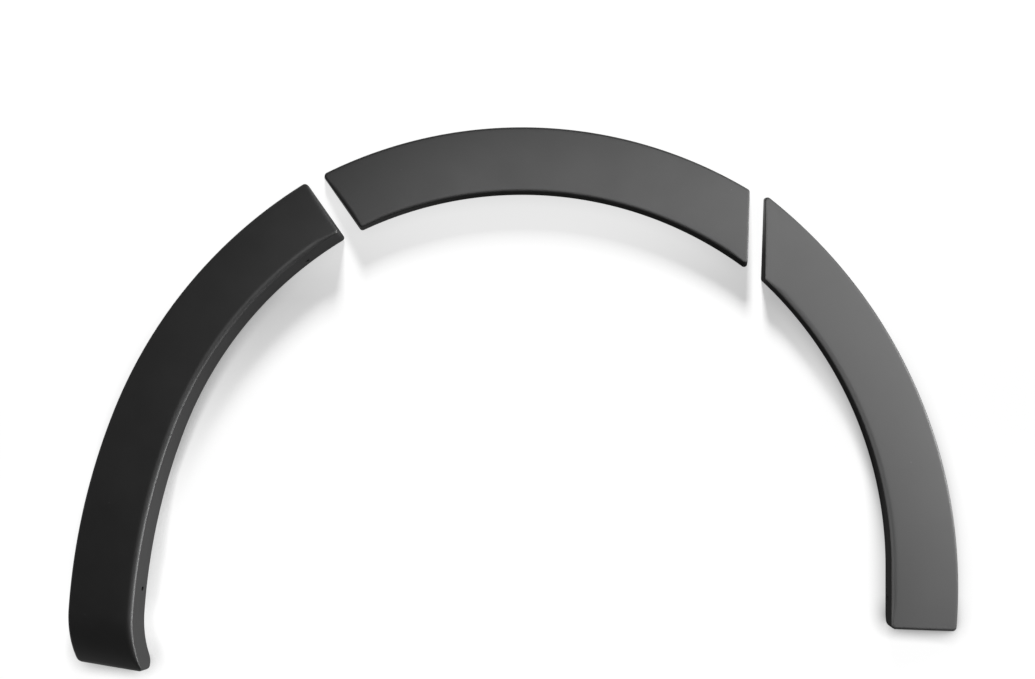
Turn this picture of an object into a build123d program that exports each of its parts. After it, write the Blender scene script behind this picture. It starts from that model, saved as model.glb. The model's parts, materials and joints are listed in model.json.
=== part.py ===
from build123d import *
import os
from math import atan2, cos, degrees, radians, sin, tan

# Wheel arch trim for a rear wheel opening, moulded in three segments.
# It lies on its hollow back: X runs towards the front of the car, Y up its side and Z out of it.
# Sizes are in millimetres and degrees, and places are taken from the wheel's centre.

# Moulding, the same for all three segments
WALL = 3.0
FACE_CROWN = 1.0
RIM_RADIUS = 4.0
CORNER_RADIUS = 5.0
LIP_DRAFT = 3.0
STATION_STEP = 30.0
CUT_MARGIN = 1.0

# Seams between the segments: slanted behind the crown, nearly upright in front of it
SEAM_ANGLE = 55.0
REAR_SEAM_OFFSET = 63.0
REAR_SEAM_GAP = 17.7
FRONT_SEAM_X = 228.5
FRONT_SEAM_Y = 331.0
FRONT_SEAM_GAP = 14.4
FRONT_SEAM_SLANT = 1.9

# Crown segment: two arcs about the wheel's centre
CROWN_INNER_RADIUS = 378.7
CROWN_WIDTH = 67.9
CROWN_START = 46.0
CROWN_SWEEP = 78.0
CROWN_FLANGE = 22.0
CROWN_LIP = 8.0
CROWN_DRAFT = 7.0
CROWN_END_DRAFT = 7.0

# Door segment: a straight tail and an arc inside, one arc outside, above a square-cut foot
DOOR_START_Y = -71.3
DOOR_INNER_X = 367.7
DOOR_INNER_TAIL = 74.1
DOOR_INNER_RADIUS = 395.8
DOOR_INNER_SWEEP = 58.2
DOOR_START_WIDTH = 69.1
DOOR_END_WIDTH = 70.0
DOOR_OUTER_RADIUS = 500.3
DOOR_FOOT_Y = -59.3
DOOR_FOOT_SLANT = 4.0
DOOR_FOOT_CORNER = 6.5
DOOR_FLANGE = 22.0
DOOR_LIP = 8.0
DOOR_DRAFT = 4.0
DOOR_END_DRAFT = 4.0

# Bumper segment: two arcs on each edge, above a foot that rolls under the bumper
BUMPER_START_X = -377.9
BUMPER_START_Y = -40.5
BUMPER_START_WIDTH = 74.6
BUMPER_HEADING = 86.6
BUMPER_INNER_LOW_RADIUS = 622.8
BUMPER_INNER_LOW_SWEEP = 17.0
BUMPER_INNER_TOP_RADIUS = 380.5
BUMPER_INNER_TOP_SWEEP = 45.0
BUMPER_OUTER_LOW_RADIUS = 648.3
BUMPER_OUTER_LOW_SWEEP = 17.8
BUMPER_OUTER_TOP_RADIUS = 470.5
BUMPER_OUTER_TOP_SWEEP = 44.0
BUMPER_FLANGE = 30.0
BUMPER_LIP = 8.0
BUMPER_DRAFT = 10.0
BUMPER_END_DRAFT = 1.5
BUMPER_FOOT_X = -408.5
BUMPER_FOOT_Y = -95.4
BUMPER_FOOT_SLANT = 6.4
BUMPER_FOOT_CORNER = 6.5
ROLL_RADIUS = 90.0
ROLL_ANGLE = 50.0
ROLL_LEAN = 28.0

# Screw holes through the inner flange, at these lengths along its back edge
SCREW_RADIUS = 2.3
SCREW_HEIGHT = 9.0
BUMPER_LOW_SCREW = 23.8
BUMPER_TOP_SCREW = 398.3
DOOR_SCREW = 43.6

UP = Vector(0, 0, 1)


def direction(angle, rise=0.0):
    """A unit vector at an angle from X in plan, rising towards Z."""
    level = cos(radians(rise))
    return Vector(cos(radians(angle)) * level, sin(radians(angle)) * level, sin(radians(rise)))


def two_arcs(start, low_radius, low_sweep, top_radius, top_sweep):
    """A bumper edge: two tangent arcs that turn forwards as they climb."""
    low = JernArc(start, direction(BUMPER_HEADING), low_radius, -low_sweep)
    top = JernArc(low @ 1, low % 1, top_radius, -top_sweep)
    return Wire([low, top])


def section_plane(inner, outer, at):
    """The upright plane across a segment, with X from the flange's back edge to the lip's."""
    across = (outer @ at) - (inner @ at)
    return Plane(inner @ at, x_dir=across, z_dir=across.cross(UP))


def face_corners(inner, outer, at, flange, lip, draft):
    """The face's inner and outer edges in a section plane."""
    width = ((outer @ at) - (inner @ at)).length
    inner_edge = Vector(flange * tan(radians(draft)), flange)
    outer_edge = Vector(width - lip * tan(radians(LIP_DRAFT)), lip)
    return inner_edge, outer_edge


def section(inner, outer, at, shape, floor, inset):
    """A section from the floor up to the face, shrunk by an inset to give the hollow behind the walls."""
    inner_edge, outer_edge = face_corners(inner, outer, at, *shape)
    flange, lip, draft = shape
    inner_back = inner_edge - Vector(tan(radians(draft)), 1) * (flange - floor)
    outer_back = outer_edge - Vector(-tan(radians(LIP_DRAFT)), 1) * (lip - floor)
    outline = [
        Line(inner_back, inner_edge),
        SagittaArc(inner_edge, outer_edge, FACE_CROWN),
        Line(outer_edge, outer_back),
        Line(outer_back, inner_back),
    ]
    profile = make_face(outline)
    if inset:
        profile = offset(profile, amount=-inset, kind=Kind.INTERSECTION)
    return section_plane(inner, outer, at) * profile


def sections(inner, outer, shape, floor, inset=0.0):
    """The sections along a segment, evenly spaced from its foot upwards."""
    steps = round(inner.length / STATION_STEP)
    return [section(inner, outer, i / steps, shape, floor, inset) for i in range(steps + 1)]


def end_plane(through, angle, draft):
    """The plane of an end wall, which leans in by its draft as it rises."""
    return Plane(through, z_dir=direction(angle, draft))


def trimmed(form, ends):
    """A form cut off at its end planes."""
    for end in ends:
        form = split(form, bisect_by=end, keep=Keep.BOTTOM)
    return form


def rounded(form, ends, corners, rim):
    """Round the upright corners beside each end wall, then the whole rim of the face."""
    for end, corner in zip(ends, corners):
        wall = form.faces().sort_by(lambda face: abs(end.to_local_coords(face.center()).Z))[0]
        form = fillet(wall.edges().sort_by(SortBy.LENGTH)[:2], corner)
    face = form.faces().sort_by(SortBy.AREA)[-2:].sort_by(Axis.Z)[-1]
    return fillet(face.edges(), rim)


def hollowed(block, core, ends, corners):
    """A moulding: the rounded block less the rounded core behind its walls."""
    form = rounded(trimmed(block, ends), ends, corners, RIM_RADIUS)
    inside = [end.offset(-WALL) for end in ends]
    inside_corners = [corner - WALL for corner in corners]
    return form - rounded(trimmed(core, inside), inside, inside_corners, RIM_RADIUS - WALL)


def flat_backed(inner, outer, shape, ends, corners):
    """A segment whose back edges all lie on the floor."""
    block = split(loft(sections(inner, outer, shape, -CUT_MARGIN)), bisect_by=Plane.XY, keep=Keep.TOP)
    core = loft(sections(inner, outer, shape, -WALL - CUT_MARGIN, WALL))
    return hollowed(block, core, ends, corners)


def screw_hole(inner, outer, length, draft):
    """A hole square through the flange, at a length along its back edge."""
    place = section_plane(inner, outer, length / inner.length)
    middle = Vector(SCREW_HEIGHT * tan(radians(draft)), SCREW_HEIGHT)
    inwards = Vector(-cos(radians(draft)), sin(radians(draft)))
    start = place.from_local_coords(middle)
    axis = place.from_local_coords(middle + inwards) - start
    return Plane(start, z_dir=axis) * Cylinder(SCREW_RADIUS, 2 * (WALL + CUT_MARGIN))


def crown():
    """The top of the arch, between the rear seam and the front one."""
    inner = Wire([CenterArc((0, 0), CROWN_INNER_RADIUS, CROWN_START, CROWN_SWEEP)])
    outer = Wire([CenterArc((0, 0), CROWN_INNER_RADIUS + CROWN_WIDTH, CROWN_START, CROWN_SWEEP)])
    rear_seam = direction(90 - SEAM_ANGLE) * REAR_SEAM_OFFSET
    ends = [
        end_plane(rear_seam, 270 - SEAM_ANGLE, CROWN_END_DRAFT),
        end_plane(Vector(FRONT_SEAM_X, FRONT_SEAM_Y), -FRONT_SEAM_SLANT, CROWN_END_DRAFT),
    ]
    shape = (CROWN_FLANGE, CROWN_LIP, CROWN_DRAFT)
    return flat_backed(inner, outer, shape, ends, [CORNER_RADIUS, CORNER_RADIUS])


def door():
    """The front leg, from the front seam down to its square-cut foot."""
    tail = Line((DOOR_INNER_X, DOOR_START_Y), (DOOR_INNER_X, DOOR_START_Y + DOOR_INNER_TAIL))
    inner = Wire([tail, JernArc(tail @ 1, tail % 1, DOOR_INNER_RADIUS, DOOR_INNER_SWEEP)])
    outer_start = tail @ 0 + Vector(DOOR_START_WIDTH, 0)
    outer_end = inner @ 1 + direction(DOOR_INNER_SWEEP) * DOOR_END_WIDTH
    outer = Wire([RadiusArc(outer_start, outer_end, -DOOR_OUTER_RADIUS)])
    foot = Vector(DOOR_INNER_X + DOOR_START_WIDTH / 2, DOOR_FOOT_Y)
    seam = Vector(FRONT_SEAM_X + FRONT_SEAM_GAP, FRONT_SEAM_Y)
    ends = [
        end_plane(foot, 270 - DOOR_FOOT_SLANT, DOOR_END_DRAFT),
        end_plane(seam, 180 - FRONT_SEAM_SLANT, DOOR_END_DRAFT),
    ]
    shape = (DOOR_FLANGE, DOOR_LIP, DOOR_DRAFT)
    shell = flat_backed(inner, outer, shape, ends, [DOOR_FOOT_CORNER, CORNER_RADIUS])
    return shell - screw_hole(inner, outer, DOOR_SCREW, DOOR_DRAFT)


def rolled_under(leg):
    """The leg's sections, led by its lowest one carried along an arc that rolls under past the foot."""
    down = direction(BUMPER_HEADING + 180)
    under = direction(BUMPER_HEADING - 90, ROLL_LEAN - 90)
    steps = round(radians(ROLL_ANGLE) * ROLL_RADIUS / STATION_STEP)
    turns = [radians(ROLL_ANGLE) * i / steps for i in range(steps, 0, -1)]
    moves = [(down * sin(turn) + under * (1 - cos(turn))) * ROLL_RADIUS for turn in turns]
    return [Pos(move) * leg[0] for move in moves] + leg


def bumper():
    """The rear leg, from the rear seam down to the foot that rolls under."""
    inner_start = Vector(BUMPER_START_X, BUMPER_START_Y)
    outer_start = inner_start + direction(BUMPER_HEADING + 90) * BUMPER_START_WIDTH
    inner = two_arcs(
        inner_start,
        BUMPER_INNER_LOW_RADIUS,
        BUMPER_INNER_LOW_SWEEP,
        BUMPER_INNER_TOP_RADIUS,
        BUMPER_INNER_TOP_SWEEP,
    )
    outer = two_arcs(
        outer_start,
        BUMPER_OUTER_LOW_RADIUS,
        BUMPER_OUTER_LOW_SWEEP,
        BUMPER_OUTER_TOP_RADIUS,
        BUMPER_OUTER_TOP_SWEEP,
    )
    foot = Vector(BUMPER_FOOT_X, BUMPER_FOOT_Y)
    seam = direction(90 - SEAM_ANGLE) * (REAR_SEAM_OFFSET - REAR_SEAM_GAP)
    ends = [
        end_plane(foot, 270 - BUMPER_FOOT_SLANT, BUMPER_END_DRAFT),
        end_plane(seam, 90 - SEAM_ANGLE, BUMPER_END_DRAFT),
    ]
    shape = (BUMPER_FLANGE, BUMPER_LIP, BUMPER_DRAFT)
    block = loft(rolled_under(sections(inner, outer, shape, 0.0)))
    core = loft(rolled_under(sections(inner, outer, shape, -WALL - CUT_MARGIN, WALL)))
    shell = hollowed(block, core, ends, [BUMPER_FOOT_CORNER, CORNER_RADIUS])
    for length in (BUMPER_LOW_SCREW, BUMPER_TOP_SCREW):
        shell -= screw_hole(inner, outer, length, BUMPER_DRAFT)
    return laid_down(shell)


def laid_down(shell):
    """Tip a segment about its lowest point until its upper end touches the floor too."""
    foot = shell.vertices().sort_by(Axis.Z)[0]
    upper = [v for v in shell.vertices() if v.Y > 0]
    tilt = min(degrees(atan2(v.Z - foot.Z, v.Y - foot.Y)) for v in upper)
    tipped = shell.rotate(Axis(foot.center(), (1, 0, 0)), -tilt)
    return Pos(0, 0, -tipped.bounding_box().min.Z) * tipped


segments = {"crown_segment": crown(), "door_segment": door(), "bumper_segment": bumper()}
box = Compound(list(segments.values())).bounding_box()
centred = Pos(-box.center().X, -box.center().Y, -box.min.Z)

os.makedirs("parts", exist_ok=True)
for name, segment in segments.items():
    export_step(centred * segment, f"parts/{name}.step")
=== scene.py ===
import json
from math import atan2, cos, pi, radians, sin, tan
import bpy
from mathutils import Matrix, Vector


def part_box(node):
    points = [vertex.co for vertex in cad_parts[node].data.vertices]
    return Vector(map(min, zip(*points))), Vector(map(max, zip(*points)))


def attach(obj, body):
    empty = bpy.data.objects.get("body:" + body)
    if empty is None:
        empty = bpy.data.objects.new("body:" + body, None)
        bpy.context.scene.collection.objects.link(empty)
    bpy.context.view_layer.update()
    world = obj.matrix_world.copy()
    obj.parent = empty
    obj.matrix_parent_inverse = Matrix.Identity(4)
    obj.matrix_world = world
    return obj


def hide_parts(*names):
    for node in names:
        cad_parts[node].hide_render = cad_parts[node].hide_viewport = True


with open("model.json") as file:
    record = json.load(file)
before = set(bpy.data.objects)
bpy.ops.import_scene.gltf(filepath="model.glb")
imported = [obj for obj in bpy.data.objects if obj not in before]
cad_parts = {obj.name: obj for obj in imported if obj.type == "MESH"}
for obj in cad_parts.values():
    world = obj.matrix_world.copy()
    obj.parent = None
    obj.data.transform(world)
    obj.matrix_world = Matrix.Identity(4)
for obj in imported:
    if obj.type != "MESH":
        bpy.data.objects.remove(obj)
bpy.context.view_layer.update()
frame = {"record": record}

from types import SimpleNamespace

import bmesh
import bpy
import numpy as np
from mathutils import Matrix, Vector

# Wheel arch trim: three hollow black mouldings that lie on a pale floor, seen from above.
# Sizes are in millimetres from the wheel's centre and angles in degrees, unless a heading says otherwise.
MM = 0.001
WHEEL_CENTRE = (6.43, -173.69)

# Seams between the segments
SEAM_ANGLE = 55.0
REAR_SEAM_OFFSET = 63.0
REAR_SEAM_GAP = 17.7
FRONT_SEAM_X = 228.5
FRONT_SEAM_Y = 331.0
FRONT_SEAM_GAP = 14.4
FRONT_SEAM_SLANT = 1.9

# Section of every segment
WALL = 3.0
FACE_CROWN = 1.0
LIP = 8.0
LIP_DRAFT = 3.0

# Rounded rim of the face: its least radius, how far the sharp edge pulls it out, and its share on the wall
LEAST_RIM = 0.5
RIM_PULL = 0.72
RIM_ON_WALL = 0.45

# How a rim meets a corner: its largest share of the corner's radius, and where it eases into it
RIM_OF_CORNER = 0.8
RIM_EASE = 25.0
RIM_EASE_SHARE = 0.3

# Corners in plan are inner and outer. Rims are those of the inner and outer sides, then of the two ends.
# A foot's sweep is the lift of the flange's free edge at the tip, its length and its share of the end.
CORNERS = (3.2, 4.0)
NO_SWEEP = (0.0, 1.0, 1.0)

# Crown segment
CROWN_INNER_RADIUS = 378.7
CROWN_WIDTH = 67.9
CROWN_START = 46.0
CROWN_SWEEP = 78.0
CROWN_FLANGE = 22.0
CROWN_DRAFT = 3.0
CROWN_END_DRAFT = 7.0
CROWN_RIMS = ((4.2, 2.5), (2.5, 4.0))

# Door segment
DOOR_START_Y = -71.3
DOOR_INNER_X = 367.7
DOOR_INNER_TAIL = 74.1
DOOR_INNER_RADIUS = 395.8
DOOR_INNER_SWEEP = 58.2
DOOR_START_WIDTH = 69.1
DOOR_END_WIDTH = 70.0
DOOR_OUTER_RADIUS = 500.3
DOOR_FOOT_Y = -59.3
DOOR_FOOT_SLANT = 4.0
DOOR_FOOT_CORNERS = (5.0, 4.0)
DOOR_FOOT_SWEEP = (9.0, 16.0, 0.16)
DOOR_TOP_CORNERS = (3.2, 3.2)
DOOR_FLANGE = 22.0
DOOR_DRAFT = 1.0
DOOR_END_DRAFT = 1.0
DOOR_RIMS = ((6.5, 3.0), (3.0, 3.5))

# Bumper segment, with the radius and sweep of each arc of its edges
BUMPER_START_X = -377.9
BUMPER_START_Y = -40.5
BUMPER_START_WIDTH = 74.6
BUMPER_HEADING = 86.6
BUMPER_INNER_ARCS = ((622.8, 17.0), (380.5, 45.0))
BUMPER_OUTER_ARCS = ((648.3, 17.8), (470.5, 44.0))
BUMPER_FOOT_X = -408.5
BUMPER_FOOT_Y = -95.4
BUMPER_FOOT_SLANT = 6.4
BUMPER_FOOT_CORNERS = (3.2, 6.5)
BUMPER_FOOT_SWEEP = (16.0, 22.0, 0.35)
BUMPER_FLANGE = 30.0
BUMPER_DRAFT = 10.0
BUMPER_END_DRAFT = 1.5
BUMPER_RIMS = ((6.0, 2.5), (3.5, 4.0))
BUMPER_RIM_ON_WALL = 0.7
ROLL_RADIUS = 90.0
ROLL_ANGLE = 50.0
ROLL_LEAN = 28.0

# Mesh: points along the edges, steps round the outline, rings up the section, and rounds of the solvers
RAIL_POINTS = 400
ROLL_POINTS = 80
SIDE_STEPS = 130
END_STEPS = 26
CORNER_STEPS = 9
TAPER_STEPS = 14
MIDDLE_MARGIN = 4.0
WALL_RINGS = 4
RIM_RINGS = 11
FACE_RINGS = 12
LOCATE_ROUNDS = 8
SETTLE_ROUNDS = 4
MERGE_DISTANCE = 0.001
SHARP_ANGLE = 38.0

# Cutters for the screw holes
SCREW_SIDES = 28
SCREW_CUT_DEPTH = 10.0

# Plastic, with its patterns' scales per metre and the grain's depth in metres
CLOUD_SCALE = 22.0
CLOUD_DETAIL = 3.0
CLOUD_ROUGHNESS = 0.55
CLOUD_SPREAD = (0.3, 0.7)
PLASTIC_TONES = (0.010, 0.016)
PLASTIC_ROUGHNESS = (0.40, 0.46)
PLASTIC_SPECULAR = 1.0
DUST_SCALE = 45.0
DUST_EDGE = (0.034, 0.016)
DUST_THRESHOLD = 0.72
DUST_COVER = 0.5
DUST_TONE = 0.12
GRAIN_SCALE = 1400.0
GRAIN_DETAIL = 2.0
GRAIN_ROUGHNESS = 0.6
GRAIN_STRENGTH = 0.06
GRAIN_DEPTH = 0.0002

# Soft lights, with lengths in metres: angle round the trim, angle above the floor, size and radiance
SOFTBOX_DISTANCE = 4.0
KEY_SOFTBOX = (18.0, 32.0, 5.0, 2.0)
OVERHEAD_SOFTBOX = (82.0, 68.0, 2.8, 1.6)
SIDE_SOFTBOX = (8.0, 9.0, 1.4, 9.5)
FLANGE_SOFTBOX = (-18.0, 11.0, 1.5, 10.0)
END_SOFTBOX = (40.0, 12.0, 1.2, 14.0)
RIM_SOFTBOX = (180.0, 70.0, 4.0, 1.3)
SHADOW_LIGHT = (92.0, 24.0, 0.7, 130.0)

# World: its levels before and beyond the trim, and the slope of the view over which they change
WORLD_LEVELS = (0.04, 0.15)
WORLD_SPAN = (-0.5, 0.5)

# Floor, in metres: where its levels change, by the distance from the wheel's centre or by X or Y
FLOOR_REACH = 8.0
OUTSIDE_SPAN = (0.40, 0.46)
AROUND_SPAN = (1.2, 0.7)
ASIDE_X = (0.05, 0.26)
ASIDE_Y = (0.19, 0.10)
RIGHT_X = (-0.32, -0.05)
FEET_Y = (0.12, -0.12)
LOW_Y = (0.12, -0.06)
LEGS_Y = (-0.08, -0.16)
TIPS_Y = (-0.20, -0.24)

# Floor levels, where 1 is white: the light on it is what the shadow light gives a white floor
FLOOR_WHITE = 1.02
FLOOR_LIGHT = 0.62
FLOOR_BOUNCE = 0.1
# Cast shadow under the crown, beside it and at the feet
CAST_SHADOWS = (0.38, 1.0, 0.05)
# Close shadow under the crown, outside the arch and at the tips of the feet
CLOSE_SHADOWS = (0.15, 0.7, 1.7)
# Close shadow within the arch, at middle height and along the legs
BUMPER_CLOSE_SHADOWS = (4.2, 3.3)
DOOR_CLOSE_SHADOWS = (1.2, 0.8)
# Reach of the close shadow in millimetres, at middle height, along the legs and at the tips
CLOSE_REACHES = (14.0, 20.0, 17.0)
# Floor that the gloss mirrors, by the bumper segment, within the arch by the door segment and outside it
MIRRORED_FLOOR = (0.3, 0.04, 0.9)

# Camera: its place from the origin, and the photograph's width and focal length in pixels
CAMERA_PLACE = (1.73, 58.71, 1500.0)
SENSOR_WIDTH = 36.0
PHOTO_WIDTH = 1035
FOCAL_PIXELS = 1482


# Plan curves

def direction(angle):
    """A unit vector in plan at an angle from X."""
    return np.array([cos(radians(angle)), sin(radians(angle))])


def arc_points(start, heading, radius, sweep):
    """Points along an arc from a start and heading, turning left for a positive sweep."""
    side = 1.0 if sweep > 0 else -1.0
    centre = np.array(start) + direction(heading + 90 * side) * radius
    angles = heading - 90 * side + np.linspace(0, sweep, RAIL_POINTS)
    return np.array([centre + direction(angle) * radius for angle in angles])


def joined(*runs):
    """Runs of points in one line, without the point that two neighbours share."""
    return np.vstack([runs[0]] + [run[1:] for run in runs[1:]])


def evenly(points):
    """A line of points, resampled at equal lengths."""
    lengths = np.concatenate([[0], np.cumsum(np.linalg.norm(np.diff(points, axis=0), axis=1))])
    marks = np.linspace(0, lengths[-1], RAIL_POINTS)
    return np.stack([np.interp(marks, lengths, column) for column in points.T], 1)


def eased(share):
    """A share from 0 to 1 that starts and ends gently."""
    share = min(share, 1.0)
    return share * share * (3 - 2 * share)


class Rails:
    """The inner and outer back edges of a segment, matched point by point, and the drop of the back."""

    def __init__(self, inner, outer, drop):
        self.inner, self.outer, self.drop = inner, outer, drop
        self.last = len(inner) - 1

    def at(self, line, place):
        """A point of one of the edges at a place counted in points."""
        return np.array([np.interp(place, np.arange(len(line)), column) for column in line.T])

    def drop_at(self, place):
        """How far the back drops at a place, as a height below zero."""
        return float(np.interp(place, np.arange(len(self.drop)), self.drop))

    def around(self, place):
        """The places half a point ahead of a place and half a point behind it."""
        return min(place + 0.5, self.last), max(place - 0.5, 0)

    def across(self, place):
        """The step from the inner edge to the outer one."""
        return self.at(self.outer, place) - self.at(self.inner, place)

    def point(self, place, share):
        """The point in plan at a place, a share of the way from the inner edge to the outer one."""
        return self.at(self.inner, place) + self.across(place) * share

    def slopes(self, place, share):
        """How a point between the edges moves in plan with its place and its share, as two columns."""
        ahead, behind = self.around(place)
        step = self.at(self.inner, ahead) - self.at(self.inner, behind)
        step += (self.across(ahead) - self.across(behind)) * share
        return np.column_stack([step / (ahead - behind), self.across(place)])

    def located(self, point, guess):
        """The place and the share of a point in plan."""
        found = np.array([guess, 0.5])
        for _ in range(LOCATE_ROUNDS):
            found += np.linalg.solve(self.slopes(*found), point - self.point(*found))
        return found

    def cut(self, line, through, outward, draft):
        """The place where an edge meets an end wall."""
        away = (line - through) @ outward + self.drop * tan(radians(draft))
        before = np.flatnonzero(np.sign(away[:-1]) != np.sign(away[1:]))[0]
        return before + away[before] / (away[before] - away[before + 1])


# Outline of a segment's back, with what its walls and face need at each point

INNER, OUTER = SIDES = (0, 1)
START, FINISH = ENDS = (0, 1)
OUTLINE_VECTORS = ("inward", "lean", "to_place", "to_share")
OUTLINE_NUMBERS = ("place", "share", "middle", "rim", "sweep")


class Outline:
    """A segment's back edge, walked up its inner side, across its finish, down its outer side and back.

    An end is a point, the angle its wall faces, its draft, and the radii of its inner and outer corners.
    """

    def __init__(self, rails, draft, ends, rims, foot_sweep=NO_SWEEP):
        self.rails = rails
        self.lines = (rails.inner, rails.outer)
        self.drafts = (draft, LIP_DRAFT)
        self.side_rims, self.end_rims = rims
        self.lift, self.sweep_length, self.sweep_share = foot_sweep
        self.walls = [(np.array(point), direction(angle), slope) for point, angle, slope, _ in ends]
        self.radii = [corners for _, _, _, corners in ends]
        self.cuts = [[rails.cut(line, *wall) for wall in self.walls] for line in self.lines]
        self.corners = [[self.corner_at(side, end) for end in ENDS] for side in SIDES]
        self.low = max(pair[START].side_place for pair in self.corners) + MIDDLE_MARGIN
        self.high = min(pair[FINISH].side_place for pair in self.corners) - MIDDLE_MARGIN
        self.points = {label: [] for label in ("base", *OUTLINE_VECTORS, *OUTLINE_NUMBERS)}

        self.walk_side(INNER)
        self.walk_corner(INNER, FINISH, from_side=True)
        self.walk_end(FINISH, INNER)
        self.walk_corner(OUTER, FINISH, from_side=False)
        self.walk_side(OUTER)
        self.walk_corner(OUTER, START, from_side=True)
        self.walk_end(START, OUTER)
        self.walk_corner(INNER, START, from_side=False)

    def lean_of(self, side, place):
        """The plan shift of a side wall per unit of height."""
        across = self.rails.across(place) * (1 if side == INNER else -1)
        return across / np.linalg.norm(across) * tan(radians(self.drafts[side]))

    def level_run(self, side, place):
        """The plan direction of a level line on a side wall, away from the start."""
        ahead, behind = self.rails.around(place)
        step = self.rails.at(self.lines[side], ahead) - self.rails.at(self.lines[side], behind)
        step -= (self.rails.drop_at(ahead) - self.rails.drop_at(behind)) * self.lean_of(side, place)
        return step / np.linalg.norm(step)

    def inward_of(self, side, place):
        """The plan direction from a side into the segment, square to its wall."""
        run = self.level_run(side, place)
        square = np.array([-run[1], run[0]])
        return square if square @ self.lean_of(side, place) > 0 else -square

    def corner_at(self, side, end):
        """The rounded corner between a side and an end, with its tangent points, centre and lean."""
        place = self.cuts[side][end]
        point = self.rails.at(self.lines[side], place)
        along = self.level_run(side, place) * (1 if end == START else -1)
        over = self.rails.at(self.lines[1 - side], self.cuts[1 - side][end]) - point
        over /= np.linalg.norm(over)
        half = np.arccos(np.clip(along @ over, -1, 1)) / 2
        radius = self.radii[end][side]
        tangent = radius / np.tan(half)
        bisector = (along + over) / np.linalg.norm(along + over)
        _, outward, end_draft = self.walls[end]
        inward = np.array([self.inward_of(side, place), -outward])
        leans = np.array([inward[0] @ self.lean_of(side, place), tan(radians(end_draft))])
        corner = SimpleNamespace(
            side=point + along * tangent,
            end=point + over * tangent,
            centre=point + bisector * radius / np.sin(half),
            lean=np.linalg.solve(inward, leans),
            place=place,
            level=self.rails.drop_at(place),
            rim=min(self.side_rims[side], self.end_rims[end], RIM_OF_CORNER * radius),
            length=radius * (pi - 2 * half),
        )
        corner.side_place = self.settled(corner, corner.side)[1]
        corner.end_place = self.settled(corner, corner.end)[1]
        return corner

    def settled(self, corner, point):
        """A point of a corner, level with its tip, slid along the corner's lean onto the back."""
        on_back, place, share = point, corner.place, 0.5
        for _ in range(SETTLE_ROUNDS):
            place, share = self.rails.located(on_back, place)
            on_back = point + corner.lean * (self.rails.drop_at(place) - corner.level)
        return on_back, place, share

    def swept(self, span, whole):
        """How far the free edge is lifted, at a span from the tip of the foot out of the whole sweep."""
        return self.lift * max(1 - span / whole, 0.0) ** 2

    def add(self, place, share, inward, lean, rim, sweep):
        """Note a point of the outline."""
        to_place, to_share = np.linalg.inv(self.rails.slopes(place, share))
        middle = min(max(place, self.low), self.high)
        self.points["base"].append((*self.rails.point(place, share), self.rails.drop_at(place)))
        for label, value in zip(OUTLINE_VECTORS, (inward, lean, to_place, to_share)):
            self.points[label].append((*value, 0.0))
        for label, value in zip(OUTLINE_NUMBERS, (place, share, middle, rim, sweep)):
            self.points[label].append(value)

    def walk_side(self, side):
        """Add the points of a side, with a rim and a lean that ease into its corners."""
        first, last = (corner.side_place for corner in self.corners[side])
        pitch = np.linalg.norm(np.diff(self.rails.inner, axis=0), axis=1).mean()
        places = np.concatenate([
            np.linspace(first, self.low, TAPER_STEPS)[:-1],
            np.linspace(self.low, self.high, SIDE_STEPS),
            np.linspace(self.high, last, TAPER_STEPS)[1:],
        ])
        for place in places if side == INNER else places[::-1]:
            spans = [abs(place - mark) * pitch for mark in (first, last)]
            rim = self.side_rims[side]
            lean = self.lean_of(side, place)
            run = self.level_run(side, place)
            for span, corner in zip(spans, self.corners[side]):
                share = 1 - eased(span / RIM_EASE)
                rim -= (self.side_rims[side] - corner.rim) * share
                lean = lean + run * ((corner.lean - self.lean_of(side, corner.place)) @ run) * share
            from_tip = spans[START] + self.corners[side][START].length
            sweep = self.swept(from_tip, self.sweep_length) if side == INNER else 0.0
            self.add(place, float(side), self.inward_of(side, place), lean, rim, sweep)

    def walk_corner(self, side, end, from_side):
        """Add the points of a corner, from its side to its end or the other way."""
        corner = self.corners[side][end]
        first, last = (corner.side, corner.end) if from_side else (corner.end, corner.side)
        a, b = first - corner.centre, last - corner.centre
        turn = np.arctan2(a[0] * b[1] - a[1] * b[0], a @ b)
        radius = np.linalg.norm(a)
        at_tip = (side, end) == (INNER, START)
        for step in np.linspace(0, 1, CORNER_STEPS)[1:-1]:
            c, s = cos(turn * step), sin(turn * step)
            spoke = np.array([c * a[0] - s * a[1], s * a[0] + c * a[1]])
            _, place, share = self.settled(corner, corner.centre + spoke)
            sweep = self.swept(step * corner.length, self.sweep_length) if at_tip else 0.0
            self.add(place, share, -spoke / radius, corner.lean, corner.rim, sweep)

    def walk_end(self, end, from_side):
        """Add the points of an end from one side to the other, with a rim that eases into its corners."""
        first, last = self.corners[from_side][end], self.corners[1 - from_side][end]
        start, stop = (self.settled(corner, corner.end)[0] for corner in (first, last))
        for step in np.linspace(0, 1, END_STEPS):
            guess = first.end_place * (1 - step) + last.end_place * step
            place, share = self.rails.located(start * (1 - step) + stop * step, guess)
            nearer = first if step < 0.5 else last
            into_corner = 1 - eased(min(step, 1 - step) / RIM_EASE_SHARE)
            rim = self.end_rims[end] - (self.end_rims[end] - nearer.rim) * into_corner
            lean = first.lean * (1 - step) + last.lean * step
            sweep = self.swept(1 - step, self.sweep_share) if end == START else 0.0
            self.add(place, share, -self.walls[end][1], lean, rim, sweep)


# Objects

def placed(name, data):
    """A new object in the scene, at the origin."""
    holder = bpy.data.objects.new(name, data)
    bpy.context.scene.collection.objects.link(holder)
    return holder


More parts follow.
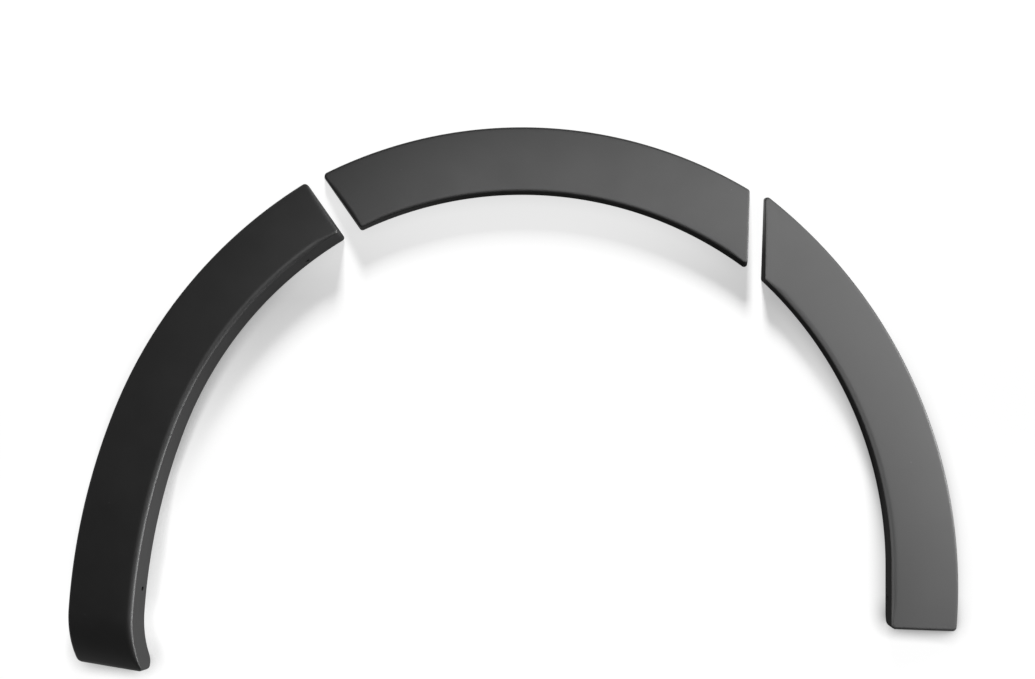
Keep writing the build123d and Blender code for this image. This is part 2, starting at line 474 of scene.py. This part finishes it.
def points_object(name, points, vectors, numbers):
    """Loose points in metres that carry named values for the moulding tree."""
    mesh = bpy.data.meshes.new(name)
    mesh.from_pydata([tuple(point) for point in points], [], [])
    for label, values in vectors.items():
        attribute = mesh.attributes.new(label, "FLOAT_VECTOR", "POINT")
        attribute.data.foreach_set("vector", values.ravel())
    for label, values in numbers.items():
        attribute = mesh.attributes.new(label, "FLOAT", "POINT")
        attribute.data.foreach_set("value", values)
    return placed(name, mesh)


def rails_object(rails):
    """The two back edges as points: the inner edge, which carries the outer one."""
    inner, outer = (np.column_stack([line, rails.drop]) * MM for line in (rails.inner, rails.outer))
    return points_object("rails", inner, {"outer": outer}, {})


def outline_object(name, outline):
    """The outline as points, with what the walls and the face need in metres."""
    values = {label: np.array(column) for label, column in outline.points.items()}
    for label in ("base", "rim", "sweep"):
        values[label] = values[label] * MM
    for label in ("to_place", "to_share"):
        values[label] = values[label] / MM
    vectors = {label: values[label] for label in OUTLINE_VECTORS}
    numbers = {label: values[label] for label in OUTLINE_NUMBERS}
    return points_object(name, values["base"], vectors, numbers)


# Node building

def put(tree, kind, inputs=None, **settings):
    """Add a node with its settings, and feed its inputs by name or number with sockets or values."""
    node = tree.nodes.new(kind)
    for key, value in settings.items():
        setattr(node, key, value)
    for key, value in (inputs or {}).items():
        if isinstance(value, bpy.types.NodeSocket):
            tree.links.new(value, node.inputs[key])
        else:
            node.inputs[key].default_value = value
    return node


def sum_of(tree, operation, *values):
    """A number worked out from one to three others."""
    return put(tree, "ShaderNodeMath", dict(enumerate(values)), operation=operation).outputs[0]


def step_of(tree, operation, first, second):
    """A vector worked out from two others, or from one and a scale."""
    key = "Scale" if operation == "SCALE" else 1
    return put(tree, "ShaderNodeVectorMath", {0: first, key: second}, operation=operation).outputs[0]


def along_of(tree, operation, first, second):
    """A number worked out from two vectors."""
    node = put(tree, "ShaderNodeVectorMath", {0: first, 1: second}, operation=operation)
    return node.outputs["Value"]


def between(tree, share, first, second):
    """A number a share of the way from one to another."""
    return put(tree, "ShaderNodeMix", {0: share, 2: first, 3: second}, data_type="FLOAT").outputs[0]


def tinted(tree, share, first, second):
    """A colour a share of the way from one to another."""
    return put(tree, "ShaderNodeMix", {0: share, 6: first, 7: second}, data_type="RGBA").outputs[2]


def blend_of(tree, share, first, second):
    """A vector a share of the way from one to another, or past them."""
    values = {0: share, 4: first, 5: second}
    return put(tree, "ShaderNodeMix", values, data_type="VECTOR", clamp_factor=False).outputs[1]


def ramp_of(tree, value, start, stop):
    """How far a number is from a start to a stop, from 0 to 1."""
    span = {"Value": value, "From Min": start, "From Max": stop}
    return put(tree, "ShaderNodeMapRange", span).outputs["Result"]


def raised(tree, point, height):
    """A point lifted by a height."""
    rise = put(tree, "ShaderNodeCombineXYZ", {"Z": height}).outputs[0]
    return step_of(tree, "ADD", point, rise)


def new_tree(name, inputs, outputs):
    """An empty Geometry Nodes tree with named sockets."""
    tree = bpy.data.node_groups.new(name, "GeometryNodeTree")
    for label, kind in inputs:
        tree.interface.new_socket(label, in_out="INPUT", socket_type="NodeSocket" + kind)
    for label, kind in outputs:
        tree.interface.new_socket(label, in_out="OUTPUT", socket_type="NodeSocket" + kind)
    return tree, tree.nodes.new("NodeGroupInput").outputs, tree.nodes.new("NodeGroupOutput").inputs


def fed(tree, group, values):
    """The outputs of a node that uses another tree, fed by name."""
    return put(tree, "GeometryNodeGroup", values, node_tree=group).outputs


def carried(tree, geometry, label, kind, index):
    """A named value of some points, taken at an index."""
    name = put(tree, "GeometryNodeInputNamedAttribute", {"Name": label}, data_type=kind)
    taken = {"Geometry": geometry, "Value": name.outputs["Attribute"], "Index": index}
    return put(tree, "GeometryNodeSampleIndex", taken, data_type=kind, clamp=True).outputs["Value"]


# Geometry Nodes for the mouldings

FACE_INPUTS = [(label, "Float") for label in ("Flange", "Lip", "Crown", "Flange Lean", "Lip Lean")]
RIM_INPUTS = [(label, "Float") for label in ("Least Rim", "Rim Pull", "Rim On Wall")]
RING_INPUTS = [(label, "Int") for label in ("Wall Rings", "Rim Rings", "Face Rings")]
SECTION_INPUTS = [("Wall", "Float"), *FACE_INPUTS, *RIM_INPUTS, *RING_INPUTS]


def rail_point_tree():
    """A point between the two back edges, at a place along them and a share of the way across."""
    tree, given, result = new_tree(
        "Rail point",
        [("Rails", "Geometry"), ("Place", "Float"), ("Share", "Float")],
        [("Point", "Vector"), ("Width", "Float")],
    )
    whole = sum_of(tree, "FLOOR", given["Place"])
    part = sum_of(tree, "FRACT", given["Place"])
    after = sum_of(tree, "ADD", whole, 1.0)
    edges = []
    for label in ("position", "outer"):
        ends = [carried(tree, given["Rails"], label, "FLOAT_VECTOR", index) for index in (whole, after)]
        edges.append(blend_of(tree, part, *ends))
    tree.links.new(blend_of(tree, given["Share"], *edges), result["Point"])
    tree.links.new(along_of(tree, "DISTANCE", *edges), result["Width"])
    return tree


def face_height_tree():
    """The height of the face above the back: it falls from flange to lip, with a slight crown."""
    tree, given, result = new_tree(
        "Face height",
        [("Share", "Float"), ("Width", "Float"), ("Inset", "Float"), *FACE_INPUTS],
        [("Height", "Float")],
    )
    start = sum_of(tree, "MULTIPLY", given["Flange"], given["Flange Lean"])
    stop = sum_of(tree, "MULTIPLY", given["Lip"], given["Lip Lean"])
    face = sum_of(tree, "SUBTRACT", given["Width"], sum_of(tree, "ADD", start, stop))
    reach = sum_of(tree, "SUBTRACT", sum_of(tree, "MULTIPLY", given["Share"], given["Width"]), start)
    across = put(tree, "ShaderNodeClamp", {"Value": sum_of(tree, "DIVIDE", reach, face)}).outputs[0]
    bulge = sum_of(tree, "MULTIPLY", across, sum_of(tree, "SUBTRACT", 1.0, across))
    crown = sum_of(tree, "MULTIPLY", sum_of(tree, "MULTIPLY", bulge, 4.0), given["Crown"])
    slope = between(tree, across, given["Flange"], given["Lip"])
    height = sum_of(tree, "SUBTRACT", sum_of(tree, "ADD", slope, crown), given["Inset"])
    tree.links.new(height, result["Height"])
    return tree


def skin_tree(rail_point, face_height):
    """One skin of a moulding, as rings from the outline: back rim, wall, rounded rim and face."""
    tree, given, result = new_tree(
        "Moulding skin",
        [("Outline", "Geometry"), ("Rails", "Geometry"), ("Inset", "Float"), *SECTION_INPUTS],
        [("Skin", "Geometry")],
    )
    outline, inset = given["Outline"], given["Inset"]
    count = put(tree, "GeometryNodeAttributeDomainSize", {"Geometry": outline}, component="MESH")
    points = count.outputs["Point Count"]

    # A grid with a column for each point of the outline, closed by the first one, and a row for each ring
    wall_start = 1.0
    rim_start = sum_of(tree, "ADD", given["Wall Rings"], wall_start)
    face_start = sum_of(tree, "ADD", rim_start, given["Rim Rings"])
    rows = sum_of(tree, "ADD", sum_of(tree, "ADD", face_start, given["Face Rings"]), 1.0)
    columns = sum_of(tree, "ADD", points, 1.0)
    grid = put(tree, "GeometryNodeMeshGrid", {"Vertices X": columns, "Vertices Y": rows}).outputs["Mesh"]
    index = tree.nodes.new("GeometryNodeInputIndex").outputs[0]
    column = sum_of(tree, "FLOOR", sum_of(tree, "DIVIDE", sum_of(tree, "ADD", index, 0.5), rows))
    ring = sum_of(tree, "SUBTRACT", index, sum_of(tree, "MULTIPLY", column, rows))
    station = sum_of(tree, "FLOORED_MODULO", column, points)

    def vector(label):
        """A named vector of the outline."""
        return carried(tree, outline, label, "FLOAT_VECTOR", station)

    def number(label):
        """A named number of the outline."""
        return carried(tree, outline, label, "FLOAT", station)

    def height_at(share, width):
        """The height of the face at a share of the way across."""
        sizes = {label: given[label] for label, _ in FACE_INPUTS}
        return fed(tree, face_height, {"Share": share, "Width": width, "Inset": inset, **sizes})["Height"]

    def progress(start, rings):
        """How far a ring is through one of the stretches, from 0 to 1."""
        past = sum_of(tree, "DIVIDE", sum_of(tree, "SUBTRACT", ring, start), rings)
        return put(tree, "ShaderNodeClamp", {"Value": past}).outputs[0]

    inward, lean = vector("inward"), vector("lean")
    place, share = number("place"), number("share")
    to_place, to_share = vector("to_place"), vector("to_share")

    def shifted(shift):
        """The place and the share of a point of the outline after a plan shift."""
        return [
            sum_of(tree, "ADD", start, along_of(tree, "DOT_PRODUCT", shift, gain))
            for start, gain in ((place, to_place), (share, to_share))
        ]

    def on_rails(at_place, at_share):
        """The point of the back at a place and a share, and the width there."""
        return fed(tree, rail_point, {"Rails": given["Rails"], "Place": at_place, "Share": at_share})

    # Where the wall would meet the face
    set_in = step_of(tree, "SCALE", inward, inset)
    width = on_rails(place, share)["Width"]
    first_shift = step_of(tree, "ADD", set_in, step_of(tree, "SCALE", lean, height_at(share, width)))
    height = height_at(shifted(first_shift)[1], width)
    edge_shift = step_of(tree, "ADD", set_in, step_of(tree, "SCALE", lean, height))
    edge = raised(tree, on_rails(*shifted(edge_shift))["Point"], height)

    # Back rim and wall
    radius = sum_of(tree, "MAXIMUM", sum_of(tree, "SUBTRACT", number("rim"), inset), given["Least Rim"])
    upward = raised(tree, lean, 1.0)
    sweep = step_of(tree, "SCALE", upward, number("sweep"))
    back_shift = step_of(tree, "SCALE", inward, given["Wall"])
    back = step_of(tree, "ADD", on_rails(*shifted(back_shift))["Point"], sweep)
    foot = step_of(tree, "ADD", on_rails(*shifted(set_in))["Point"], sweep)
    on_wall = sum_of(tree, "MULTIPLY", radius, given["Rim On Wall"])
    wall_top = step_of(tree, "SUBTRACT", edge, step_of(tree, "SCALE", upward, on_wall))
    wall_foot = blend_of(tree, progress(0.0, wall_start), back, foot)
    wall = blend_of(tree, progress(wall_start, given["Wall Rings"]), wall_foot, wall_top)

    # Face, from the rim to the middle line
    on_face = progress(face_start, given["Face Rings"])
    rim_shift = step_of(tree, "ADD", edge_shift, step_of(tree, "SCALE", inward, radius))
    rim_place, rim_share = shifted(rim_shift)
    face_share = between(tree, on_face, rim_share, 0.5)
    here = on_rails(between(tree, on_face, rim_place, number("middle")), face_share)
    face = raised(tree, here["Point"], height_at(face_share, here["Width"]))

    # Rounded rim between the wall and the face, as an arc that the edge pulls out
    on_rim = progress(rim_start, given["Rim Rings"])
    off_rim = sum_of(tree, "SUBTRACT", 1.0, on_rim)
    to_wall = sum_of(tree, "MULTIPLY", off_rim, off_rim)
    to_face = sum_of(tree, "MULTIPLY", on_rim, on_rim)
    twice_pull = sum_of(tree, "MULTIPLY", given["Rim Pull"], 2.0)
    pull = sum_of(tree, "MULTIPLY", sum_of(tree, "MULTIPLY", on_rim, off_rim), twice_pull)
    total = sum_of(tree, "ADD", sum_of(tree, "ADD", to_wall, to_face), pull)
    skin = edge
    for target, weight in ((wall, to_wall), (face, to_face)):
        away = step_of(tree, "SUBTRACT", target, edge)
        part = step_of(tree, "SCALE", away, sum_of(tree, "DIVIDE", weight, total))
        skin = step_of(tree, "ADD", skin, part)
    moved = put(tree, "GeometryNodeSetPosition", {"Geometry": grid, "Position": skin})
    tree.links.new(moved.outputs[0], result["Skin"])
    return tree


def moulding_tree():
    """A whole moulding: an outer skin, and an inner one a wall behind it, on one back rim."""
    skin = skin_tree(rail_point_tree(), face_height_tree())
    tree, given, result = new_tree(
        "Trim moulding",
        [("Outline", "Geometry"), ("Rails", "Object"), *SECTION_INPUTS,
         ("Tip", "Rotation"), ("Shift", "Vector"), ("Finish", "Material")],
        [("Moulding", "Geometry")],
    )
    rails = put(tree, "GeometryNodeObjectInfo", {"Object": given["Rails"]}).outputs["Geometry"]
    passed = {label: given[label] for label, _ in SECTION_INPUTS}
    passed.update({"Outline": given["Outline"], "Rails": rails})
    outside = fed(tree, skin, {**passed, "Inset": 0.0})["Skin"]
    inside = fed(tree, skin, {**passed, "Inset": given["Wall"]})["Skin"]
    both = tree.nodes.new("GeometryNodeJoinGeometry")
    tree.links.new(outside, both.inputs[0])
    tree.links.new(put(tree, "GeometryNodeFlipFaces", {"Mesh": inside}).outputs[0], both.inputs[0])
    merge = {"Geometry": both.outputs[0], "Distance": MERGE_DISTANCE * MM}
    closed = put(tree, "GeometryNodeMergeByDistance", merge).outputs[0]
    lay = {"Geometry": closed, "Rotation": given["Tip"], "Translation": given["Shift"]}
    laid = put(tree, "GeometryNodeTransform", lay).outputs[0]
    whole = put(tree, "GeometryNodeRealizeInstances", {"Geometry": laid}).outputs[0]
    done = put(tree, "GeometryNodeSetMaterial", {"Geometry": whole, "Material": given["Finish"]}).outputs[0]
    tree.links.new(done, result["Moulding"])
    return tree


# Mouldings

def baked(piece):
    """Turn a piece with modifiers into a plain mesh with faces that point outwards."""
    graph = bpy.context.evaluated_depsgraph_get()
    mesh = bpy.data.meshes.new_from_object(piece.evaluated_get(graph))
    piece.modifiers.clear()
    piece.data = mesh
    work = bmesh.new()
    work.from_mesh(mesh)
    bmesh.ops.dissolve_degenerate(work, dist=MERGE_DISTANCE * MM, edges=work.edges[:])
    bmesh.ops.recalc_face_normals(work, faces=work.faces[:])
    for face in work.faces:
        face.smooth = True
        face.material_index = 0
    work.to_mesh(mesh)
    work.free()
    mesh.set_sharp_from_angle(angle=radians(SHARP_ANGLE))


def screw_cutter(mount, finish):
    """A cutter for one of the screw holes in the flanges."""
    radius = mount["dims"]["r_mm"] * MM
    turn = Vector(mount["axis"]).to_track_quat("Z", "Y").to_matrix().to_4x4()
    mesh = bpy.data.meshes.new("screw_cutter")
    mesh.materials.append(finish)
    work = bmesh.new()
    bmesh.ops.create_cone(
        work, cap_ends=True, segments=SCREW_SIDES, radius1=radius, radius2=radius,
        depth=SCREW_CUT_DEPTH * MM, matrix=Matrix.Translation(mount["pos_m"]) @ turn,
    )
    work.to_mesh(mesh)
    work.free()
    return placed("screw_cutter", mesh)


def screws_of(node):
    """The screw holes within a node's box."""
    low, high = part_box(node)
    bores = [mount for mount in frame["record"]["mounts"] if mount["kind"] == "bore"]
    return [bore for bore in bores if all(a <= p <= b for a, p, b in zip(low, bore["pos_m"], high))]


def moulded(node, outline, flange, rim_on_wall, tree, finish, tip=0.0, shift=(0.0, 0.0, 0.0)):
    """Make a segment from its outline with the moulding tree, and drill its screw holes."""
    piece = outline_object(node.replace("segment", "moulding"), outline)
    guide = rails_object(outline.rails)
    modifier = piece.modifiers.new("moulding", "NODES")
    modifier.node_group = tree
    flange_draft, lip_draft = outline.drafts
    values = {
        "Rails": guide,
        "Wall": WALL * MM,
        "Flange": flange * MM,
        "Lip": LIP * MM,
        "Crown": FACE_CROWN * MM,
        "Flange Lean": tan(radians(flange_draft)),
        "Lip Lean": tan(radians(lip_draft)),
        "Least Rim": LEAST_RIM * MM,
        "Rim Pull": RIM_PULL,
        "Rim On Wall": rim_on_wall,
        "Wall Rings": WALL_RINGS,
        "Rim Rings": RIM_RINGS,
        "Face Rings": FACE_RINGS,
        "Tip": (tip, 0.0, 0.0),
        "Shift": [MM * (a + b) for a, b in zip((*WHEEL_CENTRE, 0.0), shift)],
        "Finish": finish,
    }
    for socket in tree.interface.items_tree:
        if socket.in_out == "INPUT" and socket.name in values:
            modifier[socket.identifier] = values[socket.name]
    helpers = [guide]
    for mount in screws_of(node):
        hole = piece.modifiers.new("screw_hole", "BOOLEAN")
        hole.object = screw_cutter(mount, finish)
        hole.solver = "EXACT"
        helpers.append(hole.object)
    baked(piece)
    piece.data.materials.clear()
    piece.data.materials.append(finish)
    for helper in helpers:
        bpy.data.objects.remove(helper)
    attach(piece, "root")
    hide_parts(node)
    return piece


# Crown segment

def crown_rails():
    """Two arcs about the wheel's centre."""
    start = direction(CROWN_START) * CROWN_INNER_RADIUS
    inner = arc_points(start, CROWN_START + 90, CROWN_INNER_RADIUS, CROWN_SWEEP)
    outer = inner * (CROWN_INNER_RADIUS + CROWN_WIDTH) / CROWN_INNER_RADIUS
    return Rails(inner, outer, np.zeros(RAIL_POINTS))


def crown_moulding(tree, finish):
    """The top of the arch, from the front seam to the rear one."""
    rear_seam = direction(90 - SEAM_ANGLE) * REAR_SEAM_OFFSET
    ends = (
        ((FRONT_SEAM_X, FRONT_SEAM_Y), -FRONT_SEAM_SLANT, CROWN_END_DRAFT, CORNERS),
        (rear_seam, 270 - SEAM_ANGLE, CROWN_END_DRAFT, CORNERS),
    )
    outline = Outline(crown_rails(), CROWN_DRAFT, ends, CROWN_RIMS)
    return moulded("crown_segment", outline, CROWN_FLANGE, RIM_ON_WALL, tree, finish)


# Door segment

def door_rails():
    """A straight tail and an arc on the inner side, and one arc on the outer side."""
    tail = np.array([DOOR_INNER_X, DOOR_START_Y]) + np.array([[0, 0], [0, DOOR_INNER_TAIL]])
    inner = evenly(joined(tail, arc_points(tail[1], 90, DOOR_INNER_RADIUS, DOOR_INNER_SWEEP)))
    start = tail[0] + np.array([DOOR_START_WIDTH, 0])
    end = inner[-1] + direction(DOOR_INNER_SWEEP) * DOOR_END_WIDTH
    half = (end - start) / 2
    heading = np.degrees(atan2(half[1], half[0]))
    turn = np.degrees(np.arcsin(np.linalg.norm(half) / DOOR_OUTER_RADIUS))
    outer = arc_points(start, heading - turn, DOOR_OUTER_RADIUS, 2 * turn)
    return Rails(inner, outer, np.zeros(RAIL_POINTS))


def door_moulding(tree, finish):
    """The right leg, from its square-cut foot to the front seam."""
    foot = (DOOR_INNER_X + DOOR_START_WIDTH / 2, DOOR_FOOT_Y)
    seam = (FRONT_SEAM_X + FRONT_SEAM_GAP, FRONT_SEAM_Y)
    ends = (
        (foot, 270 - DOOR_FOOT_SLANT, DOOR_END_DRAFT, DOOR_FOOT_CORNERS),
        (seam, 180 - FRONT_SEAM_SLANT, DOOR_END_DRAFT, DOOR_TOP_CORNERS),
    )
    outline = Outline(door_rails(), DOOR_DRAFT, ends, DOOR_RIMS, DOOR_FOOT_SWEEP)
    return moulded("door_segment", outline, DOOR_FLANGE, RIM_ON_WALL, tree, finish)


# Bumper segment

def bumper_rails():
    """Two arcs on each side, after a foot that rolls away from the viewer and leans outward as it does."""
    turns = np.radians(np.linspace(ROLL_ANGLE, 0, ROLL_POINTS))
    below = np.sin(turns) * ROLL_RADIUS
    under = (1 - np.cos(turns)) * ROLL_RADIUS
    roll = np.outer(below, direction(BUMPER_HEADING + 180))
    roll += np.outer(under, direction(BUMPER_HEADING - 90)) * sin(radians(ROLL_LEAN))
    inner_start = np.array([BUMPER_START_X, BUMPER_START_Y])
    outer_start = inner_start + direction(BUMPER_HEADING + 90) * BUMPER_START_WIDTH
    edges = []
    for start, arcs in ((inner_start, BUMPER_INNER_ARCS), (outer_start, BUMPER_OUTER_ARCS)):
        (low_radius, low_sweep), (top_radius, top_sweep) = arcs
        low = arc_points(start, BUMPER_HEADING, low_radius, -low_sweep)
        top = arc_points(low[-1], BUMPER_HEADING - low_sweep, top_radius, -top_sweep)
        edges.append(joined(start + roll, evenly(joined(low, top))))
    drop = np.concatenate([-under * cos(radians(ROLL_LEAN)), np.zeros(RAIL_POINTS - 1)])
    return Rails(*edges, drop)


def laid_down(outline):
    """The tilt about X, and the shift, that bring a rolled foot and the upper end down to the floor."""
    base = np.array(outline.points["base"])
    foot = base[base[:, 2].argmin()]
    upper = base[base[:, 1] > 0]
    tilt = -min(atan2(point[2] - foot[2], point[1] - foot[1]) for point in upper)
    turn = np.array([[cos(tilt), -sin(tilt)], [sin(tilt), cos(tilt)]])
    tipped = base[:, 1:] @ turn.T
    aside = foot[1:] - turn @ foot[1:]
    return tilt, (0.0, aside[0], -tipped[:, 1].min())


def bumper_moulding(tree, finish):
    """The left leg, from its rolled foot to the rear seam."""
    seam = direction(90 - SEAM_ANGLE) * (REAR_SEAM_OFFSET - REAR_SEAM_GAP)
    ends = (
        ((BUMPER_FOOT_X, BUMPER_FOOT_Y), 270 - BUMPER_FOOT_SLANT, BUMPER_END_DRAFT, BUMPER_FOOT_CORNERS),
        (seam, 90 - SEAM_ANGLE, BUMPER_END_DRAFT, CORNERS),
    )
    outline = Outline(bumper_rails(), BUMPER_DRAFT, ends, BUMPER_RIMS, BUMPER_FOOT_SWEEP)
    tip, shift = laid_down(outline)
    return moulded("bumper_segment", outline, BUMPER_FLANGE, BUMPER_RIM_ON_WALL, tree, finish, tip, shift)


# Finish

def grey(tone):
    """An opaque grey."""
    return (tone, tone, tone, 1)


def moulded_plastic():
    """Satin black plastic with a fine moulded grain, a slight cloudiness and a few specks of dust."""
    material = bpy.data.materials.new("satin_black_plastic")
    material.use_nodes = True
    tree = material.node_tree
    shader = tree.nodes["Principled BSDF"]
    place = tree.nodes.new("ShaderNodeTexCoord").outputs["Object"]

    def noise(scale, detail, roughness):
        """A noise pattern over the plastic."""
        values = {"Vector": place, "Scale": scale, "Detail": detail, "Roughness": roughness}
        return put(tree, "ShaderNodeTexNoise", values).outputs["Fac"]

    cloud = noise(CLOUD_SCALE, CLOUD_DETAIL, CLOUD_ROUGHNESS)
    colour = tinted(tree, cloud, *(grey(tone) for tone in PLASTIC_TONES))
    roughness = between(tree, ramp_of(tree, cloud, *CLOUD_SPREAD), *PLASTIC_ROUGHNESS)
    tree.links.new(roughness, shader.inputs["Roughness"])

    cells = put(tree, "ShaderNodeTexVoronoi", {"Vector": place, "Scale": DUST_SCALE}).outputs
    near = ramp_of(tree, cells["Distance"], *DUST_EDGE)
    chance = put(tree, "ShaderNodeSeparateColor", {"Color": cells["Color"]}).outputs[0]
    picked = sum_of(tree, "GREATER_THAN", chance, DUST_THRESHOLD)
    dust = sum_of(tree, "MULTIPLY", sum_of(tree, "MULTIPLY", near, picked), DUST_COVER)
    tree.links.new(tinted(tree, dust, colour, grey(DUST_TONE)), shader.inputs["Base Color"])

    grain = noise(GRAIN_SCALE, GRAIN_DETAIL, GRAIN_ROUGHNESS)
    relief = {"Strength": GRAIN_STRENGTH, "Distance": GRAIN_DEPTH, "Height": grain}
    tree.links.new(put(tree, "ShaderNodeBump", relief).outputs["Normal"], shader.inputs["Normal"])
    shader.inputs["Specular IOR Level"].default_value = PLASTIC_SPECULAR
    return material


# Studio

def floor_finish():
    """White to the camera and dimmer in the gloss, with the trim's shadow.

    As in the photograph, the cast shadow is faint under the crown and strong beside it, and gives way to a
    close shadow at the feet. On the far floor there is none.
    """
    material = bpy.data.materials.new("pale_floor")
    material.use_nodes = True
    tree = material.node_tree
    tree.nodes.clear()
    place = tree.nodes.new("ShaderNodeTexCoord").outputs["Object"]
    x, y, _ = put(tree, "ShaderNodeSeparateXYZ", {"Vector": place}).outputs
    from_wheel = along_of(tree, "DISTANCE", place, [MM * c for c in (*WHEEL_CENTRE, 0.0)])
    outside = ramp_of(tree, from_wheel, *OUTSIDE_SPAN)
    around = ramp_of(tree, from_wheel, *AROUND_SPAN)
    rightward = ramp_of(tree, x, *RIGHT_X)
    feet, low, legs, tips = (ramp_of(tree, y, *span) for span in (FEET_Y, LOW_Y, LEGS_Y, TIPS_Y))
    aside = ramp_of(tree, sum_of(tree, "ABSOLUTE", x), *ASIDE_X)
    beside = sum_of(tree, "MULTIPLY", aside, ramp_of(tree, y, *ASIDE_Y))
    seen = tree.nodes.new("ShaderNodeLightPath").outputs
    camera = seen["Is Camera Ray"]
    mirrored = sum_of(tree, "MAXIMUM", seen["Is Glossy Ray"], seen["Is Transmission Ray"])

    # Cast shadow, as the share of the floor's white that comes from the shadow light
    under_crown, beside_crown, at_feet = CAST_SHADOWS
    cast = between(tree, feet, between(tree, beside, under_crown, beside_crown), at_feet)
    tone = sum_of(tree, "MULTIPLY", cast, around)
    white = sum_of(tree, "MULTIPLY_ADD", tone, -FLOOR_LIGHT, FLOOR_WHITE)

    # Close shadow
    at_middle, at_legs, at_tips = (MM * reach for reach in CLOSE_REACHES)
    reach = between(tree, tips, between(tree, legs, at_middle, at_legs), at_tips)
    close = put(tree, "ShaderNodeAmbientOcclusion", {"Distance": reach}).outputs["AO"]
    at_crown, past_arch, under_tips = CLOSE_SHADOWS
    by_bumper = between(tree, legs, *BUMPER_CLOSE_SHADOWS)
    by_door = between(tree, legs, *DOOR_CLOSE_SHADOWS)
    by_legs = between(tree, outside, between(tree, rightward, by_bumper, by_door), past_arch)
    depth = between(tree, low, at_crown, between(tree, tips, by_legs, under_tips))
    shade = sum_of(tree, "MULTIPLY", sum_of(tree, "SUBTRACT", 1.0, close), depth)
    lit = sum_of(tree, "SUBTRACT", 1.0, sum_of(tree, "MINIMUM", shade, 1.0))

    # What the camera and the gloss see
    left_mirror, right_mirror, outer_mirror = MIRRORED_FLOOR
    mirror = between(tree, rightward, left_mirror, between(tree, outside, right_mirror, outer_mirror))
    level = sum_of(tree, "ADD", sum_of(tree, "MULTIPLY", mirrored, mirror), camera)
    strength = sum_of(tree, "MULTIPLY", sum_of(tree, "MULTIPLY", white, lit), level)
    glow = put(tree, "ShaderNodeEmission", {"Color": grey(1), "Strength": strength})
    paint = put(tree, "ShaderNodeBsdfDiffuse", {"Color": between(tree, camera, FLOOR_BOUNCE, tone)})
    both = put(tree, "ShaderNodeAddShader", {0: paint.outputs[0], 1: glow.outputs[0]})
    put(tree, "ShaderNodeOutputMaterial", {"Surface": both.outputs[0]})
    return material


def pale_floor():
    """A plain pale floor under the trim."""
    mesh = bpy.data.meshes.new("floor")
    corners = [(-1, -1), (1, -1), (1, 1), (-1, 1)]
    mesh.from_pydata([(x * FLOOR_REACH, y * FLOOR_REACH, 0) for x, y in corners], [], [(0, 1, 2, 3)])
    mesh.materials.append(floor_finish())
    floor = placed("floor", mesh)
    return floor


def soft_light(name, softbox, lit):
    """A square soft light turned to the trim, for the things it lights."""
    azimuth, height, size, radiance = softbox
    lamp = bpy.data.lights.new(name, "AREA")
    lamp.size = size
    lamp.energy = radiance * pi * size * size
    level = direction(azimuth) * cos(radians(height))
    toward = Vector((*level, sin(radians(height))))
    holder = placed(name, lamp)
    holder.location = toward * SOFTBOX_DISTANCE
    holder.rotation_euler = toward.to_track_quat("Z", "Y").to_euler()
    receivers = bpy.data.collections.new(name + "_lights")
    for piece in lit:
        receivers.objects.link(piece)
    holder.light_linking.receiver_collection = receivers


def studio_lights(crown, door, bumper, floor):
    """Softboxes for the trim, mostly from the right, and the light that casts its shadow on the floor."""
    trim = [crown, door, bumper]
    soft_light("key_softbox", KEY_SOFTBOX, trim)
    soft_light("overhead_softbox", OVERHEAD_SOFTBOX, trim)
    soft_light("side_softbox", SIDE_SOFTBOX, trim)
    soft_light("flange_softbox", FLANGE_SOFTBOX, [bumper])
    soft_light("end_softbox", END_SOFTBOX, [bumper])
    soft_light("rim_softbox", RIM_SOFTBOX, [door])
    soft_light("shadow_light", SHADOW_LIGHT, [floor])


def studio_world():
    """Dim light from beyond the crown, and white where the camera sees past the floor."""
    world = bpy.data.worlds.new("studio")
    bpy.context.scene.world = world
    world.use_nodes = True
    tree = world.node_tree
    back = tree.nodes["Background"]
    camera = tree.nodes.new("ShaderNodeLightPath").outputs["Is Camera Ray"]
    toward = tree.nodes.new("ShaderNodeTexCoord").outputs["Generated"]
    ahead = put(tree, "ShaderNodeSeparateXYZ", {"Vector": toward}).outputs["Y"]
    level = between(tree, ramp_of(tree, ahead, *WORLD_SPAN), *WORLD_LEVELS)
    back.inputs["Color"].default_value = grey(1)
    tree.links.new(between(tree, camera, level, 1.0), back.inputs["Strength"])


def overhead_camera():
    """The photograph's camera: straight above, with the trim filling the frame."""
    data = bpy.data.cameras.new("camera")
    data.sensor_fit = "HORIZONTAL"
    data.sensor_width = SENSOR_WIDTH
    data.lens = SENSOR_WIDTH * FOCAL_PIXELS / PHOTO_WIDTH
    holder = placed("camera", data)
    holder.location = [MM * c for c in CAMERA_PLACE]
    bpy.context.scene.camera = holder


finish = moulded_plastic()
tree = moulding_tree()
crown = crown_moulding(tree, finish)
door = door_moulding(tree, finish)
bumper = bumper_moulding(tree, finish)

studio_world()
studio_lights(crown, door, bumper, pale_floor())
overhead_camera()
bpy.context.scene.view_settings.view_transform = "Standard"
